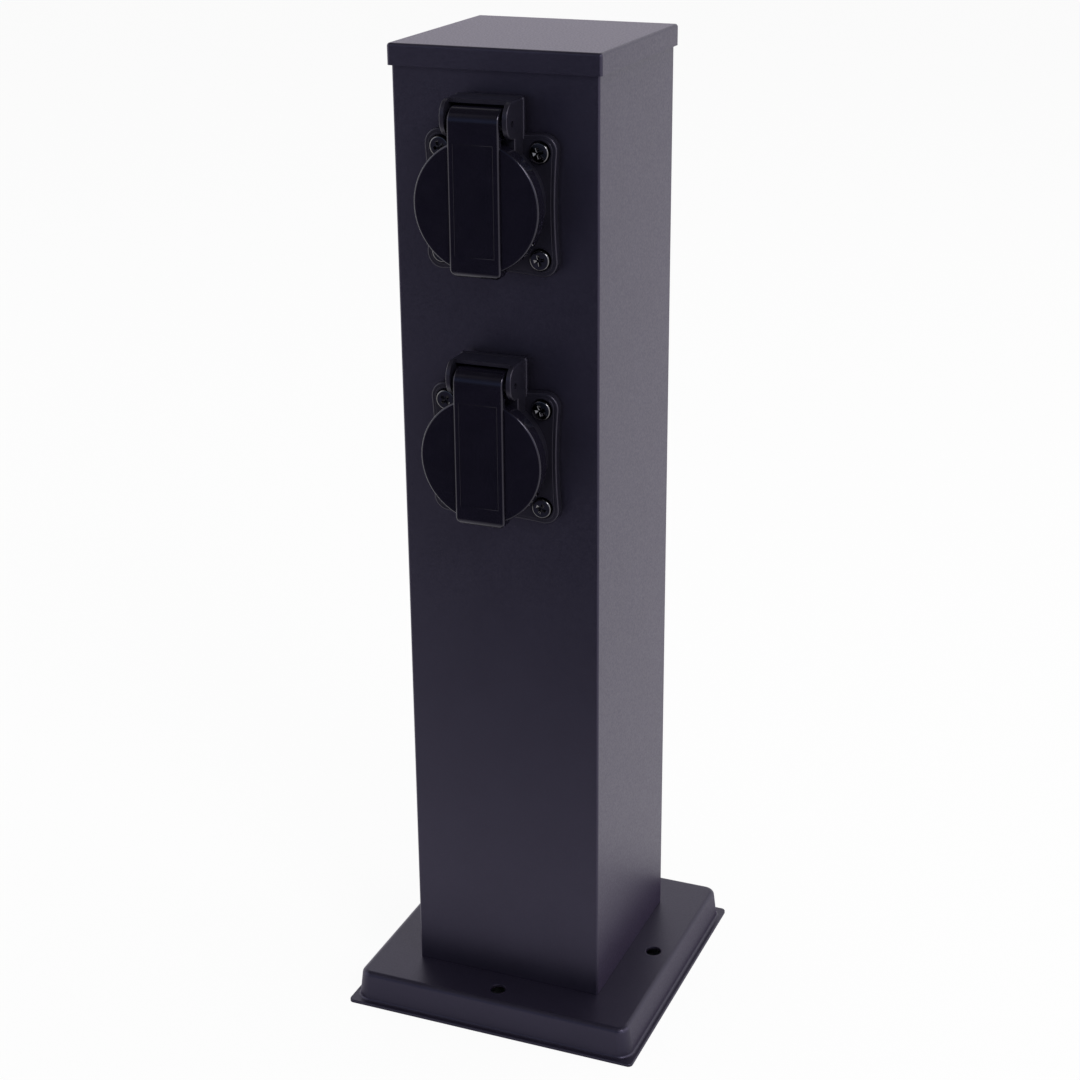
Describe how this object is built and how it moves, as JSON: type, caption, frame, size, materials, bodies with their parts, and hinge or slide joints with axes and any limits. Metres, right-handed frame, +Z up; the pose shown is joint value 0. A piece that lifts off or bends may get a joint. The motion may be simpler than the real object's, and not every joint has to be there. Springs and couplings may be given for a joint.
{
  "type": "garden socket post",
  "caption": "Free-standing outdoor power post: square powder-coated steel column with a push-on cap and a drawn foot with anchor holes, carrying flanged mains sockets under sprung lids.",
  "frame": {"origin": "middle of the foot's underside, on the ground", "axes": "+Z up, sockets on the face towards -Y, +X to the right seen from the front"},
  "size_m": [0.128, 0.128, 0.4],
  "materials": {
    "coat": "black satin powder coat with a fine texture",
    "socket_plastic": "black satin moulded plastic",
    "lid_plastic": "black gloss moulded plastic",
    "carrier_plastic": "dark grey moulded plastic",
    "terminal_plastic": "natural polyamide",
    "rubber": "matt black rubber",
    "black_screw": "black plated steel",
    "zinc": "zinc-plated steel",
    "pin_steel": "blackened steel",
    "spring_steel": "oil-blackened spring wire",
    "brass": "bright brass",
    "tin": "tinned copper",
    "brown_wire": "brown wire insulation",
    "blue_wire": "blue wire insulation",
    "earth_wire": "green and yellow wire insulation"
  },
  "bodies": {
    "post": {"post_tube": "coat", "top_cap": "coat", "cap_screws": "black_screw", "base_plate": "coat", "foot_frame": "zinc", "foot_screws": "zinc", "cable_grommet": "rubber", "terminal_bracket": "zinc", "bracket_screws": "zinc", "terminal_block": "terminal_plastic", "terminal_sleeves": "brass", "sleeve_screws": "zinc", "block_screws": "zinc", "earth_stud": "zinc", "earth_lug": "tin", "earth_nut": "zinc", "feed_live": "brown_wire", "feed_neutral": "blue_wire", "feed_earth": "earth_wire", "link_live": "brown_wire", "link_neutral": "blue_wire", "link_earth": "earth_wire", "bond_wire": "earth_wire", "upper_socket_body": "socket_plastic", "upper_carrier": "carrier_plastic", "upper_line_contacts": "brass", "upper_earth_spring": "brass", "upper_clamp_screws": "zinc", "upper_carrier_screws": "zinc", "upper_gasket": "rubber", "upper_flange_screws": "black_screw", "upper_flange_nuts": "zinc", "upper_hinge_pin": "pin_steel", "upper_lid_spring": "spring_steel", "lower_socket_body": "socket_plastic", "lower_carrier": "carrier_plastic", "lower_line_contacts": "brass", "lower_earth_spring": "brass", "lower_clamp_screws": "zinc", "lower_carrier_screws": "zinc", "lower_gasket": "rubber", "lower_flange_screws": "black_screw", "lower_flange_nuts": "zinc", "lower_hinge_pin": "pin_steel", "lower_lid_spring": "spring_steel"},
    "upper_lid_body": {"upper_lid": "lid_plastic", "upper_lid_seal": "rubber"},
    "lower_lid_body": {"lower_lid": "lid_plastic", "lower_lid_seal": "rubber"}
  },
  "joints": [
    {"name": "upper_lid_hinge", "type": "hinge", "parent": "post", "child": "upper_lid_body", "pos_m": [0, -0.0549, 0.376], "axis": [-1, 0, 0], "range_deg": [0, 115], "stiffness_Nm_per_rad": 0.015, "springref_deg": -68.75, "deforming": ["upper_lid_spring"]},
    {"name": "lower_lid_hinge", "type": "hinge", "parent": "post", "child": "lower_lid_body", "pos_m": [0, -0.0549, 0.28], "axis": [-1, 0, 0], "range_deg": [0, 115], "stiffness_Nm_per_rad": 0.015, "springref_deg": -68.75, "deforming": ["lower_lid_spring"]}
  ]
}
